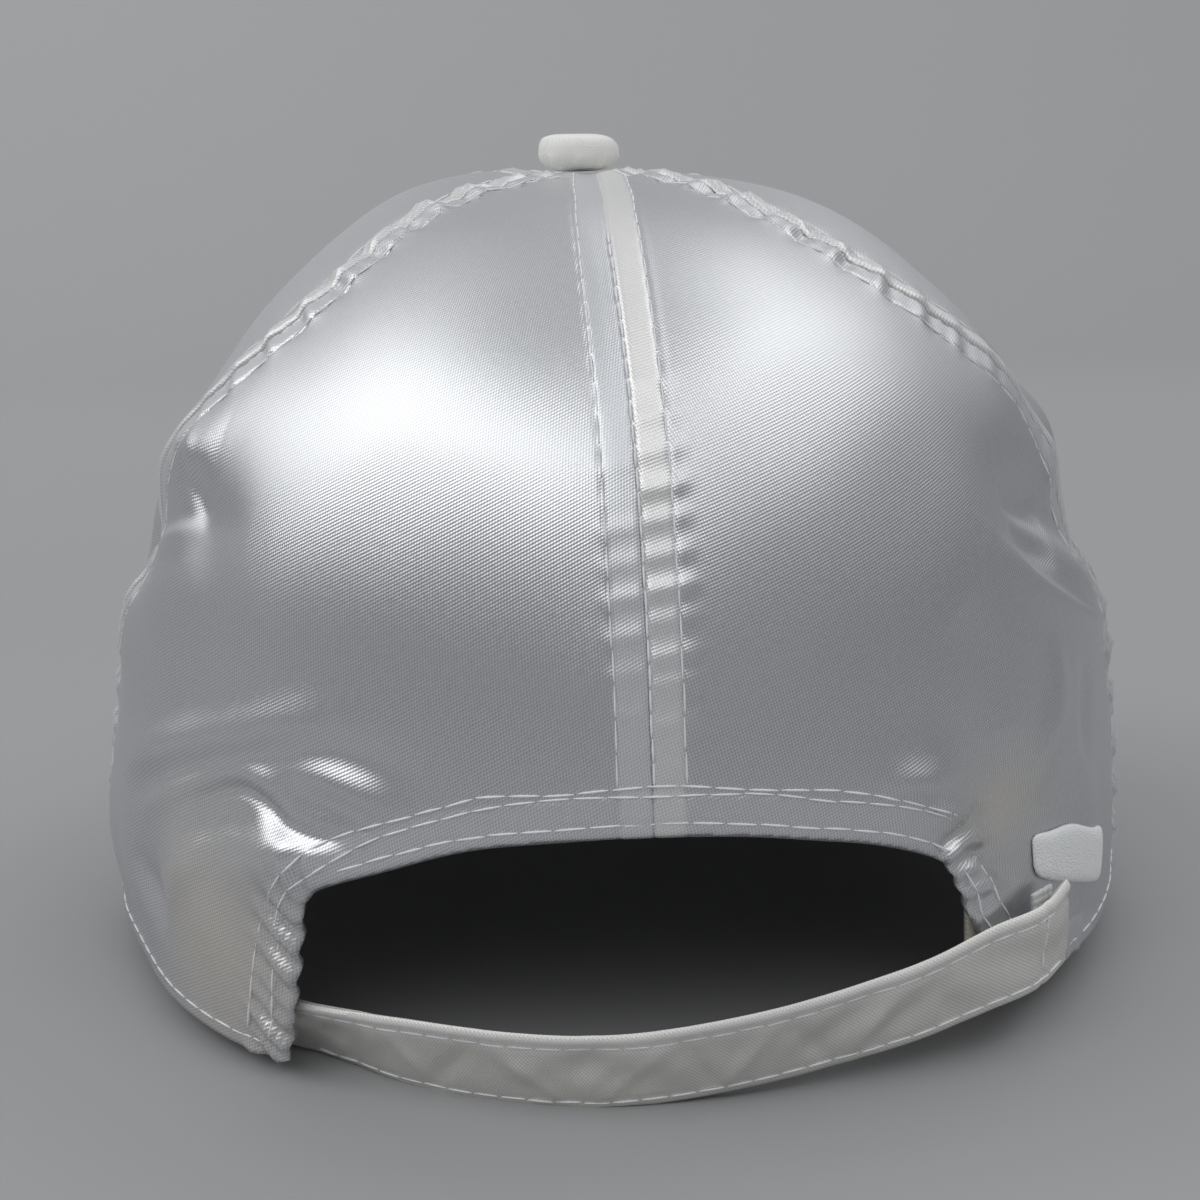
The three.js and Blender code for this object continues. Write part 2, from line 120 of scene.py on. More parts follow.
def smooth_curve(rows, at):
    """The smooth line through (x, y) rows, read at x."""
    x, y = np.array(sorted(rows), float).T
    last = len(x) - 1
    ahead = np.minimum(np.arange(last + 1) + 1, last)
    behind = np.maximum(np.arange(last + 1) - 1, 0)
    slope = (y[ahead] - y[behind]) / (x[ahead] - x[behind])
    i = np.clip(np.searchsorted(x, at) - 1, 0, last - 1)
    span = x[i + 1] - x[i]
    t = np.clip((at - x[i]) / span, 0, 1)
    return ((2 * t**3 - 3 * t**2 + 1) * y[i] + (t**3 - 2 * t**2 + t) * slope[i] * span
            + (3 * t**2 - 2 * t**3) * y[i + 1] + (t**3 - t**2) * slope[i + 1] * span)


TO_MILLIMETRES = np.array([PER_DEGREE, 1])


def curve_through(marks, spots, at):
    """The smooth line through spots that each have a mark along it, read at other marks."""
    return np.stack([smooth_curve(list(zip(marks, column)), at) for column in np.transpose(spots)], -1)


def signed_turn(around):
    """Degrees from the centre back, more than 0 on the left and less on the right."""
    return (np.asarray(around, float) + 180) % 360 - 180


def crown_point(around, up):
    """The crown's smooth form, without a fold: degrees round from the centre back, degrees up."""
    turn, rise = np.radians(around), np.radians(up)
    leftward, backward = np.sin(turn), np.cos(turn)
    level, lifted = np.clip(np.cos(rise), 0, 1), np.sin(rise)
    x = HALF_WIDTH * level ** np.where(leftward > 0, LEFT_POWER, RIGHT_POWER) * leftward
    y = HALF_LENGTH * level ** np.where(backward > 0, BACK_POWER, FRONT_POWER) * backward
    z = CROWN_HEIGHT * lifted**RISE_POWER
    x = x + TOP_SHIFT * lifted**4
    z = z + smooth_curve(HEM_RISE, signed_turn(around)) * (1 - lifted) ** 2
    return np.stack([x, y, z], -1)


def crown_outward(around, up):
    """The direction straight out of the crown's smooth form."""
    high = np.minimum(up + 0.05, 89.9)
    low = np.maximum(high - 0.1, 0)
    rise = crown_point(around, high) - crown_point(around, low)
    turn = crown_point(around + 0.05, up) - crown_point(around - 0.05, up)
    outward = np.cross(rise, turn)
    return outward / np.linalg.norm(outward, axis=-1, keepdims=True)


def line_along(points):
    """A line of points with its lengthways directions and the length up to each point."""
    step = np.gradient(points, axis=0)
    run = np.concatenate([[0], np.cumsum(np.linalg.norm(np.diff(points, axis=0), axis=1))])
    return points, step / np.linalg.norm(step, axis=1, keepdims=True), run


def distance_to(line, points):
    """How far each point is from a line, how far along the line that is, and where."""
    on_line, direction, run = line
    away, along = np.empty(len(points)), np.empty(len(points))
    nearest = np.empty(len(points), int)
    for start in range(0, len(points), 4000):
        part = slice(start, start + 4000)
        k = ((points[part, None] - on_line[None]) ** 2).sum(-1).argmin(1)
        across = points[part] - on_line[k]
        slide = (across * direction[k]).sum(-1)
        away[part] = np.linalg.norm(across - slide[:, None] * direction[k], axis=1)
        along[part] = run[k] + slide
        nearest[part] = k
    return away, along, nearest


def fold_depth(around, up, height):
    """How far the folds lift the cloth; it lies smooth under the button."""
    depth = np.zeros(np.shape(around))
    for middle, level, slant, length, breadth, most in FOLDS:
        side = (signed_turn(around) - middle) * PER_DEGREE
        rise = height - level
        cos, sin = math.cos(math.radians(slant)), math.sin(math.radians(slant))
        along = (side * cos + rise * sin) / length
        across = (rise * cos - side * sin) / breadth
        depth += most * np.exp(-along**2 - across**2)
    return depth * np.clip((86.5 - up) / 5, 0, 1)


def crease_depth(around, height):
    """How far the creases lift the cloth; each one dies away at its two ends."""
    around = signed_turn(around)
    depth = np.zeros(np.shape(around))
    for path, above, below, most in CREASES:
        spots = np.array(path, float)
        reach = 2.7 * max(above, below, 4)
        middle = (spots.min(0) + spots.max(0)) / 2
        near = ((np.abs(around - middle[0]) < np.ptp(spots[:, 0]) / 2 + reach / PER_DEGREE)
                & (np.abs(height - middle[1]) < np.ptp(spots[:, 1]) / 2 + reach))
        if not near.any():
            continue
        along = np.linspace(0, 1, len(path))
        line = line_along(TO_MILLIMETRES * curve_through(along, spots, np.linspace(0, 1, 60)))
        points = TO_MILLIMETRES * np.stack([around[near], height[near]], -1)
        away, run, nearest = distance_to(line, points)
        offset = points - line[0][nearest]
        upper = offset[:, 1] + 0.4 * np.abs(offset[:, 0]) * np.sign(offset[:, 1]) > 0
        breadth = np.where(upper, above, below)
        share = np.clip(run / line[2][-1], 0, 1)
        ends = np.sin(np.clip(share, 0.02, 0.98) * math.pi) ** 0.7
        beyond = np.maximum(np.maximum(-run, run - line[2][-1]), 0)
        depth[near] += most * ends * np.exp(-((away / breadth) ** 2) - (beyond / 3) ** 2)
    return depth


def up_of_height(height):
    """Degrees up the crown at this height, leaving out the hem's own rise."""
    share = np.clip(np.asarray(height, float) / CROWN_HEIGHT, 0, 1)
    return np.degrees(np.arcsin(share ** (1 / RISE_POWER)))


seam_ups = 89.5 * np.sin(np.linspace(0, math.pi / 2, 420))
SEAM_LINES = {name: line_along(crown_point(smooth_curve(path, seam_ups), seam_ups))
              for name, path in SEAM_PATHS.items()}
# The arched opening, right foot to left foot: degrees around, millimetres up.
ARCH = [(-35.4, 0), (-33.7, 14), (-31.7, 19.5), (-30.2, 25), (-29, 28.9), (-27, 31.4), (-21, 35.3),
        (-15, 37.6), (-8, 39.6), (0, 40.4), (8, 39.9), (16.5, 38.1), (25, 33.6), (30.9, 29.9),
        (32.6, 27.4), (33.4, 23.9), (34.1, 17.7), (36.3, 0)]
ARCH_CORNERS = (-28.4, 31.3)


def path_through(spots, steps):
    """Evenly spaced places on the smooth line through these (degrees around, millimetres up)."""
    run = np.concatenate([[0], np.cumsum(np.hypot(*(np.diff(spots, axis=0) * TO_MILLIMETRES).T))])
    return curve_through(run, spots, np.linspace(0, run[-1], steps)).T


def arch_edge(steps):
    """The arched opening's edge, from its right foot over the middle to its left foot."""
    around, height = path_through(ARCH, steps)
    up = up_of_height(height)
    for _ in range(6):
        lifted = (1 - np.sin(np.radians(up))) ** 2
        up = up_of_height(height - smooth_curve(HEM_RISE, around) * lifted)
    return around, up


arch_around, arch_up = arch_edge(900)
ARCH_LINE = line_along(crown_point(arch_around, arch_up))
ARCH_RIGHT, ARCH_LEFT = (ARCH_LINE[2][np.abs(arch_around - corner).argmin()]
                         for corner in ARCH_CORNERS)
ROW_GAUGE = 4.8      # from a seam to the row of topstitching on either side of it
ARCH_ROWS = (1.95, 6.4)


def ridge(value, middle, breadth):
    """1 at the middle, dying away on both sides."""
    return np.exp(-(((value - middle) / breadth) ** 2))


def shelf(value, edge, softness):
    """1 below the edge and 0 past it."""
    return 0.5 - 0.5 * np.tanh((value - edge) / softness)


# Where the centre back seam is gathered by its stitches: millimetres up, and how strongly.
RIGHT_GATHERS = [(100, 0.4), (95.5, 0.5), (91, 0.6), (86.4, 1.1), (82.3, 0.8), (77.8, 0.8),
                 (73.4, 1.4), (69.4, 0.6), (64.6, 0.9), (61, 0.6), (55.5, 0.5), (49, 0.3)]
LEFT_GATHERS = [(90, 0.4), (82, 0.7), (77.5, 0.6), (73, 1.0), (68, 0.9), (63, 0.6), (57.5, 0.5),
                (52, 0.3)]


def gathers(levels, height, away, lean, reach):
    """Small ridges that the stitches pull up, running out across the strip and a little beyond."""
    lift = np.zeros(len(away))
    for level, strength in levels:
        lift += strength * ridge(height, level + lean * away, 1.2)
    return lift * shelf(away, reach, 1.1)


def seam_relief(name, around, up, bare):
    """Cloth turned in at a seam: how far it stands out, its tint and painted light, how much it
    scatters.
    """
    side = signed_turn(around - smooth_curve(SEAM_PATHS[name], up))
    relief, tint_and_painted_light, scatter = np.zeros(len(bare)), np.zeros(len(bare)), np.zeros(len(bare))
    radius = np.hypot(bare[:, 0], bare[:, 1])
    near = np.abs(np.radians(side)) * radius < 30
    if not near.any():
        return relief, tint_and_painted_light, scatter
    away, run, _ = distance_to(SEAM_LINES[name], bare[near])
    side, height = side[near], bare[near][:, 2]
    strip = shelf(away, ROW_GAUGE - 0.2, 0.3)
    crease = -0.3 * ridge(away, 0, 0.5)
    rows = -0.17 * ridge(away, ROW_GAUGE, 0.4) * (1 - 0.45 * np.cos(run * 2 * math.pi / 4.8))
    if name == "centre":
        rightward = side < 0
        upper = shelf(-height, -84, 4.0)
        folded = (0.225 + 0.275 * upper) * np.clip(1 - away / 6.5, 0, 1) * (1 - ridge(away, 0, 0.55))
        flat = 0.16 * strip - 0.22 * upper * ridge(away, 0.6, 1.6)
        gathered = np.where(rightward, gathers(RIGHT_GATHERS, height, away, 0.12, 7.0),
                            0.6 * gathers(LEFT_GATHERS, height, away, -0.1, 5.6))
        relief[near] = (0.5 * crease + rows + np.where(rightward, folded, flat)
                        + 0.36 * gathered * np.clip(away / 0.7, 0.3, 1))
        # The strip right of the seam gets a warmer tint with a painted highlight, strongest above 84
        # mm where it faces the light; the strip on the left gets a painted bluish shade.
        tint_and_painted_light[near] = strip * np.where(rightward, 0.45 + 0.5 * upper, -0.35 - 0.3 * upper)
        loose = strip * np.where(rightward, 0.62, 0.36 + 0.25 * (1 - upper))
        scatter[near] = loose + 0.3 * gathered * (1 - strip)
    else:
        outward = (side > 0) if name in ("left", "front_right") else (side < 0)
        strength = 1.0 if name in ("left", "right") else 0.55    # the front seams are calmer
        wave = np.sin(run * 2 * math.pi / 8.4 + 1.3 * np.sin(run / 17))
        wave = wave + 0.5 * np.sin(run * 2 * math.pi / 3.9)
        patchy = 0.75 * strength * (0.55 + 0.45 * np.sin(run / 23 + 1))
        rolled = 0.5 * ridge(away, 1.1, 1.1) * outward
        relief[near] = crease + rows + 0.15 * strip + rolled + patchy * wave * ridge(away, 2.4, 3.2)
        # The strip on the seam's outer side gets a warmer tint with a painted highlight, the inner one
        # a faint painted shade.
        tint_and_painted_light[near] = strip * np.where(outward, 0.6, -0.1) * strength
        scatter[near] = strip * np.where(outward, 0.75, 0.45) * strength
    return relief, tint_and_painted_light, scatter


def arch_relief(around, bare):
    """The arch's turned-in edge: rolled over at the rim, with two rows that draw the cloth in."""
    relief = np.zeros(len(bare))
    near = (np.abs(signed_turn(around)) < 52) & (bare[:, 2] < 62)
    if near.any():
        away, run, _ = distance_to(ARCH_LINE, bare[near])
        past_left, past_right = run - ARCH_LEFT, ARCH_RIGHT - run
        left_side = np.clip((past_left + 3) / 5, 0, 1)
        right_side = np.clip((past_right + 4) / 4, 0, 1) * (0.25 + 1.5 * ridge(past_right, 3, 6))
        slanted = run + 0.45 * away
        puckers = np.sin(slanted * 2 * math.pi / 4.1 + 1.6 * np.sin(run / 5))
        puckers = puckers + 0.6 * np.sin(slanted / 0.97 + 2)
        relief[near] = (
            -0.55 * ridge(away, 0, 0.5)
            + 0.2 * shelf(away, ARCH_ROWS[1], 0.6)
            - 0.2 * ridge(away, ARCH_ROWS[0], 0.4)
            - 0.2 * ridge(away, ARCH_ROWS[1], 0.45)
            + (0.03 + 0.7 * left_side + 0.45 * right_side) * puckers * ridge(away, 3.6, 4.6)
            - 0.5 * right_side * ridge(away, 9.2, 1.4)
        )
    return relief


ripple_seed = np.random.default_rng(11)
RIPPLES = [(ripple_seed.normal(size=3), ripple_seed.uniform(0, 6.28), ripple_seed.uniform(16, 60))
           for _ in range(16)]


def ripple(bare):
    """The faint unevenness of cloth over its lining."""
    swell = np.zeros(len(bare))
    for direction, phase, length in RIPPLES:
        rate = 2 * math.pi / length
        swell += 0.0075 / rate * np.sin(bare @ (direction / np.linalg.norm(direction)) * rate + phase)
    return swell


def cloth_point(around, up, proud=0.0, seams=tuple(SEAM_PATHS), arch=True):
    """Where the finished crown's outer face is, over its hem, with its tint and painted light, and its
    scatter.
    """
    around, up = np.asarray(around, float), np.asarray(up, float)
    bare = crown_point(around, up)
    relief = fold_depth(around, up, bare[:, 2]) + crease_depth(around, bare[:, 2])
    relief += ripple(bare) + proud
    tint_and_painted_light, scatter = np.zeros(len(bare)), np.zeros(len(bare))
    fade = np.clip((89.2 - up) / 3, 0, 1)
    for name in seams:
        lift, warm, loose = seam_relief(name, around, up, bare)
        relief += lift * fade
        tint_and_painted_light += warm
        scatter = np.maximum(scatter, loose)
    if arch:
        relief += arch_relief(around, bare)
    return bare + crown_outward(around, up) * relief[:, None], tint_and_painted_light, scatter


# How the cap rests: tipped back, with its hem's middle so far behind and above the frame's.
TIPPED_BACK = math.radians(3.8)
RESTS_BEHIND, RESTS_UP = 34.5, 8.6


def at_rest(points):
    """From the crown's own frame in millimetres to the cap as it stands, in metres."""
    cos, sin = math.cos(TIPPED_BACK), math.sin(TIPPED_BACK)
    x, y, z = np.asarray(points, float).T
    y, z = y * cos + z * sin + RESTS_BEHIND, z * cos - y * sin + RESTS_UP
    return np.stack([x, y, np.maximum(z, 0.0)], -1) * 0.001


def thread_lines(mesh, across, upwards):
    """The cloth's own coordinates, in millimetres along its threads, as its UV map."""
    layer = mesh.uv_layers.new(name="threads")
    corners = np.empty(len(mesh.loops), np.int32)
    mesh.loops.foreach_get("vertex_index", corners)
    places = np.stack([across[corners], upwards[corners]], -1)
    layer.data.foreach_set("uv", places.astype(np.float32).ravel())


def keep_on_vertices(mesh, name, values):
    """Gives the material a value for each vertex."""
    layer = mesh.attributes.new(name, "FLOAT", "POINT")
    layer.data.foreach_set("value", np.asarray(values, np.float32))


def grid_cloth(across, upwards):
    """A flat grid of cloth, with its shares across and upwards at each vertex."""
    cloth = bmesh.new()
    bmesh.ops.create_grid(cloth, x_segments=across, y_segments=upwards, size=0.5)
    cloth.verts.ensure_lookup_table()
    share = np.array([(v.co.x + 0.5, v.co.y + 0.5) for v in cloth.verts])
    return cloth, share[:, 0], share[:, 1]


def piece_of(name, cloth, places=None):
    """An object of this cloth at the origin, with its vertices moved to the places, if given."""
    mesh = bpy.data.meshes.new(name)
    cloth.to_mesh(mesh)
    cloth.free()
    if places is not None:
        mesh.vertices.foreach_set("co", np.asarray(places, np.float32).ravel())
    mesh.polygons.foreach_set("use_smooth", np.ones(len(mesh.polygons), bool))
    mesh.update()
    piece = bpy.data.objects.new(name, mesh)
    bpy.context.scene.collection.objects.link(piece)
    return piece


def thicken(piece, thickness):
    """Gives the cloth its wall, inwards from the face that was worked out."""
    wall = piece.modifiers.new("cloth_and_lining", "SOLIDIFY")
    wall.thickness = thickness
    wall.offset = -1
    return wall


# How far up the cloth lies from its hem, by degrees up the crown.
profile_ups = np.linspace(0, 90, 400)
profile_run = line_along(crown_point(np.full(400, 40.0), profile_ups))[2]
# Where the slack cloth gets a painted warm reflection and scatters more: degrees around,
# half breadth, millimetres up, half height, how much.
SLACK_REFLECTION = [(46, 10, 14, 18, 0.9), (-37, 6, 35, 7, 0.7)]
CLOTH_WALL = 0.0009


def crown_panel(name, left_seam, right_seam, columns, rows, arched=False):
    """A panel between two seams, from the hem to the ring under the button."""
    cloth, share, rise = grid_cloth(columns, rows)
    rise = PANELS_END * (0.7 * rise + 0.3 * rise**2)
    up = up_of_height(CROWN_HEIGHT * np.sin(rise * math.pi / 2))
    share = share - 0.09 * np.sin(2 * math.pi * share)    # closer columns beside the seams
    left, right = smooth_curve(SEAM_PATHS[left_seam], up), smooth_curve(SEAM_PATHS[right_seam], up)
    right = np.where(right > left, right - 360, right)
    around = left + (right - left) * share
    if arched:
        around, up = cut_arch(cloth, around, up)
    places, tint_and_painted_light, scatter = cloth_point(around, up, seams=(left_seam, right_seam), arch=arched)
    angle = np.radians(around)
    middle = np.degrees(np.arctan2(np.sin(angle).mean(), np.cos(angle).mean()))
    bare = crown_point(around, up)
    across = np.radians(signed_turn(around - middle)) * np.hypot(bare[:, 0], bare[:, 1])
    upwards = np.interp(up, profile_ups, profile_run)
    panel = piece_of(name, cloth, at_rest(places))
    thread_lines(panel.data, across, upwards)
    turn, height = signed_turn(around), bare[:, 2]
    # Where a painted warm reflection goes on the slack cloth, which also scatters more there.
    slack_reflection = sum(most * ridge(turn, middle, breadth) * ridge(height, level, reach)
                for middle, breadth, level, reach, most in SLACK_REFLECTION)
    if arched:
        around_arch = distance_to(ARCH_LINE, bare)[0]
        scatter = np.maximum(scatter, 0.35 * shelf(around_arch, ARCH_ROWS[1], 0.4) * (height < 60))
    keep_on_vertices(panel.data, "tint_and_painted_light", np.clip(tint_and_painted_light, -1, 1))
    keep_on_vertices(panel.data, "scatter", np.clip(np.maximum(scatter, 0.75 * slack_reflection), 0, 1))
    keep_on_vertices(panel.data, "slack_reflection", np.clip(slack_reflection, 0, 1))
    thicken(panel, CLOTH_WALL)
    return panel


def cut_arch(cloth, around, up):
    """Cuts the opening out of the flat grid, and sets the cut edge exactly on the arch."""
    away, _, nearest = distance_to(ARCH_LINE, crown_point(around, up))
    height = crown_point(around, up)[:, 2]
    turn = signed_turn(around)
    over = np.interp(turn, arch_around, ARCH_LINE[0][:, 2], left=-99, right=-99)
    inside = (height < over) & (turn > arch_around[0]) & (turn < arch_around[-1])
    ends = np.array([[v.index for v in e.verts] for e in cloth.edges])
    crossing = ends[inside[ends[:, 0]] != inside[ends[:, 1]]]
    on_edge = np.zeros(len(around), bool)
    on_edge[crossing[np.arange(len(crossing)), away[crossing].argmin(1)]] = True
    places = np.where(on_edge[:, None], np.stack([arch_around[nearest], arch_up[nearest]], -1),
                      np.stack([around, up], -1))
    for vertex, place in zip(cloth.verts, places):
        vertex.co = (*place, 0)
    cut = inside & ~on_edge
    for face in list(cloth.faces):
        corners = list(face.verts)
        within = [cut[v.index] for v in corners]
        if sum(within) == 1:
            k = within.index(True)
            bmesh.utils.face_split(face, corners[k - 1], corners[(k + 1) % 4])
    bmesh.ops.delete(cloth, geom=[v for v, away in zip(cloth.verts, cut) if away], context="VERTS")
    flat = [f for f in cloth.faces if f.calc_area() < 1e-5]
    bmesh.ops.delete(cloth, geom=flat, context="FACES")
    kept = np.array([v.co for v in cloth.verts])
    return kept[:, 0].astype(float), kept[:, 1].astype(float)


def new_group(name, inputs, outputs):
    """A new group of shader nodes with these named inputs and outputs."""
    group = bpy.data.node_groups.new(name, "ShaderNodeTree")
    for label, kind in inputs:
        group.interface.new_socket(label, in_out="INPUT", socket_type=kind)
    for label, kind in outputs:
        group.interface.new_socket(label, in_out="OUTPUT", socket_type=kind)
    return group, group.nodes.new("NodeGroupInput"), group.nodes.new("NodeGroupOutput")


def calculate(tree, operation, *values):
    """A sum on shader values: each is a number or another node's output."""
    node = tree.nodes.new("ShaderNodeMath")
    node.operation = operation
    for socket, value in zip(node.inputs, values):
        if isinstance(value, bpy.types.NodeSocket):
            tree.links.new(value, socket)
        else:
            socket.default_value = value
    return node.outputs[0]


def wavy(tree, vector, counts):
    """One set of threads: a sine across them."""
    dot = tree.nodes.new("ShaderNodeVectorMath")
    dot.operation = "DOT_PRODUCT"
    tree.links.new(vector, dot.inputs[0])
    tree.links.new(counts, dot.inputs[1])
    return calculate(tree, "SINE", calculate(tree, "MULTIPLY", dot.outputs["Value"], 2 * math.pi))


# Satin shows one bright float of yarn at each crossing, in slanting lines.
weave, given, made = new_group(
    "satin_weave",
    [(label, "NodeSocketVector") for label in ("Threads", "Float lines", "Cross lines")],
    [("Floats", "NodeSocketFloat")],
)
unevenness = weave.nodes.new("ShaderNodeTexNoise")
unevenness.inputs["Scale"].default_value = 0.9
unevenness.inputs["Detail"].default_value = 3
weave.links.new(given.outputs["Threads"], unevenness.inputs["Vector"])
lines = wavy(weave, given.outputs["Threads"], given.outputs["Float lines"])
crossings = wavy(weave, given.outputs["Threads"], given.outputs["Cross lines"])
lattice = calculate(weave, "MULTIPLY_ADD", calculate(weave, "ADD", lines, crossings), 0.25, 0.5)
uneven = calculate(weave, "MULTIPLY_ADD", unevenness.outputs["Fac"], 0.5, 0.75)
weave.links.new(calculate(weave, "MULTIPLY", lattice, uneven), made.inputs["Floats"])


def mixed(tree, share, first, second):
    """One colour or the other by a share; each is a colour or another node's output."""
    mix = tree.nodes.new("ShaderNodeMix")
    mix.data_type = "RGBA"
    tree.links.new(share, mix.inputs["Factor"])
    for label, colour in (("A", first), ("B", second)):
        if isinstance(colour, bpy.types.NodeSocket):
            tree.links.new(colour, mix.inputs[label])
        else:
            mix.inputs[label].default_value = (*colour, 1)
    return mix.outputs["Result"]


# The warm colour is a warmer tint with a painted highlight; the cool colour is a painted bluish shade.
def cloth_material(name, float_lines, cross_lines, bright, shade, metallic, roughness, anisotropic,
                   bump, warm=(0.93, 0.93, 0.91), cool_shade=(0.82, 0.84, 0.87)):
    """Woven cloth: bright floats with shade between them. Its attributes give it a warmer tint with a
    painted highlight, a painted bluish shade and a painted warm reflection, and make it duller."""
    material = bpy.data.materials.new(name)
    material.use_nodes = True
    tree = material.node_tree
    surface = tree.nodes["Principled BSDF"]
    surface.inputs["Anisotropic"].default_value = anisotropic
    threads = tree.nodes.new("ShaderNodeUVMap")
    threads.uv_map = "threads"
    woven = tree.nodes.new("ShaderNodeGroup")
    woven.node_tree = weave
    woven.inputs["Float lines"].default_value = float_lines
    woven.inputs["Cross lines"].default_value = cross_lines
    tree.links.new(threads.outputs["UV"], woven.inputs["Threads"])
    floats = woven.outputs["Floats"]
    parts = {}
    for part in ("tint_and_painted_light", "scatter", "slack_reflection"):
        parts[part] = tree.nodes.new("ShaderNodeAttribute")
        parts[part].attribute_name = part
    tint_and_painted_light, scatter = parts["tint_and_painted_light"].outputs["Fac"], parts["scatter"].outputs["Fac"]
    plain = mixed(tree, floats, shade, bright)
    warmer = calculate(tree, "MAXIMUM", tint_and_painted_light, 0.0)
    cooler = calculate(tree, "MAXIMUM", calculate(tree, "MULTIPLY", tint_and_painted_light, -1.0), 0.0)
    # Painted light at the seams: a warmer tint with a painted highlight, and a painted bluish shade.
    tone = mixed(tree, warmer, plain, mixed(tree, floats, [0.82 * c for c in warm], warm))
    tone = mixed(tree, cooler, tone, mixed(tree, floats, [0.78 * c for c in cool_shade], cool_shade))
    # A painted warm reflection, beige, on the slack cloth low on the crown.
    warm_reflection_tone = mixed(tree, floats, (0.56, 0.53, 0.49), (0.76, 0.72, 0.66))
    tone = mixed(tree, parts["slack_reflection"].outputs["Fac"], tone, warm_reflection_tone)
    tree.links.new(tone, surface.inputs["Base Color"])
    sheen = calculate(tree, "MULTIPLY_ADD", scatter, -0.62 * metallic, metallic)
    tree.links.new(sheen, surface.inputs["Metallic"])
    dull = calculate(tree, "MULTIPLY_ADD", scatter, 0.08, roughness + 0.04)
    tree.links.new(calculate(tree, "MULTIPLY_ADD", floats, -0.08, dull), surface.inputs["Roughness"])
    height = tree.nodes.new("ShaderNodeBump")
    height.inputs["Strength"].default_value = 0.6
    height.inputs["Distance"].default_value = bump
    tree.links.new(floats, height.inputs["Height"])
    tree.links.new(height.outputs["Normal"], surface.inputs["Normal"])
    if anisotropic:
        lay = tree.nodes.new("ShaderNodeTangent")
        lay.direction_type = "UV_MAP"
        lay.uv_map = "threads"
        tree.links.new(lay.outputs["Tangent"], surface.inputs["Tangent"])
    return material


def line_counts(pitch, lean):
    """Lines this many millimetres apart, leaning this many degrees from upright."""
    turn = math.radians(lean)
    return (math.cos(turn) / pitch, math.sin(turn) / pitch, 0)


def satin(name, *lines):
    """The crown's satin, with its threads lying as each panel was cut."""
    return cloth_material(name, *lines, bright=(0.82, 0.83, 0.85), shade=(0.5, 0.51, 0.53),
                          metallic=0.93, roughness=0.34, anisotropic=0.5, bump=0.00006)


left_satin = satin("satin_left_grain", line_counts(0.46, -12), line_counts(0.52, 62))
right_satin = satin("satin_right_grain", line_counts(0.45, 74), line_counts(0.5, -8))

back_left = crown_panel("back_panel_left_satin", "left", "centre", 190, 236, arched=True)
back_right = crown_panel("back_panel_right_satin", "centre", "right", 180, 236, arched=True)
for panel, node, material, cut, area in (
        (back_left, "back_panel_left", left_satin, (0.145, 0.185), 0.0134),
        (back_right, "back_panel_right", right_satin, (0.128, 0.187), 0.0119)):
    panel.data.materials.append(material)
    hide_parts(node)
    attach(panel, "root")

# ---------------------------------------------------------------- side and front panels
# The same satin closes the sides, and one wide panel the front, over a stiff lining that
# keeps it smooth. They are sewn to each other and to the back with turned-in seams.
side_satin = satin("satin_side_grain", line_counts(0.46, 8), line_counts(0.5, 70))
front_satin = satin("satin_front_grain", line_counts(0.46, 5), line_counts(0.5, 85))
side_left = crown_panel("side_panel_left_satin", "front_left", "left", 70, 150)
side_right = crown_panel("side_panel_right_satin", "right", "front_right", 76, 150)
front = crown_panel("front_panel_satin", "front_right", "front_left", 110, 130)
for panel, node, material, cut, area in (
        (side_left, "side_panel_left", side_satin, (0.084, 0.185), 0.0122),
        (side_right, "side_panel_right", side_satin, (0.096, 0.187), 0.0139),
        (front, "front_panel", front_satin, (0.167, 0.178), 0.0207)):
    panel.data.materials.append(material)
    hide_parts(node)
    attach(panel, "root")

# ---------------------------------------------------------------- topstitching
# White polyester thread, in rows beside each seam, round the arch and along the hem. Each
# stitch is one slim lozenge of thread that dips into the cloth at both ends.
def beside(around, up, offset):
    """Shifts a line on the crown sideways over its surface by this many millimetres."""
    direction = line_along(crown_point(around, up))[1]
    sideways = np.cross(direction, crown_outward(around, up)) * np.reshape(offset, (-1, 1))
    step = 0.05
    high = np.minimum(up + step, 89.95)
    by_turn = crown_point(around + step, up) - crown_point(around - step, up)
    by_rise = crown_point(around, high) - crown_point(around, high - 2 * step)
    slopes = np.stack([by_turn, by_rise], -1) / (2 * step)
    shift = (np.linalg.pinv(slopes) @ sideways[..., None])[..., 0]
    return around + shift[:, 0], up + shift[:, 1]


def sew_row(threads, places, outward, stitch=4.8, gap=0.34, radius=0.155, wander=0.08, seed=3):
    """Lays one row of stitches along a line of places on the cloth, all in metres."""
    shift = np.random.default_rng(seed)
    run = line_along(places)[2] * 1000
    for start in np.arange(0.4, run[-1] - stitch, stitch):
        ends = (start + gap / 2, start + stitch - gap / 2)
        first, last = (Vector([np.interp(s, run, places[:, k]) for k in range(3)]) for s in ends)
        away = Vector([np.interp(sum(ends) / 2, run, outward[:, k]) for k in range(3)]).normalized()
        lengthways = last - first
        half = lengthways.length / 2 * 1.04
        lengthways.normalize()
        across = away.cross(lengthways).normalized()
        away = lengthways.cross(across)
        thick = radius * 0.001
        middle = (first + last) / 2 + away * thick * 0.35
        middle = middle + across * shift.uniform(-wander, wander) * 0.001
        axes = Matrix((across * thick, away * thick, lengthways * half)).transposed()
        place = Matrix.Translation(middle) @ axes.to_4x4()
        bmesh.ops.create_uvsphere(threads, u_segments=6, v_segments=6, radius=1, matrix=place)


def sew_on_crown(threads, around, up, proud=0.05, **stitching):
    """Lays a row of stitches on the finished crown, a little proud of the cloth."""
    face = cloth_point(around, up, proud)[0]
    places = at_rest(face)
    outward = at_rest(face + crown_outward(around, up)) - places
    sew_row(threads, places, outward, **stitching)


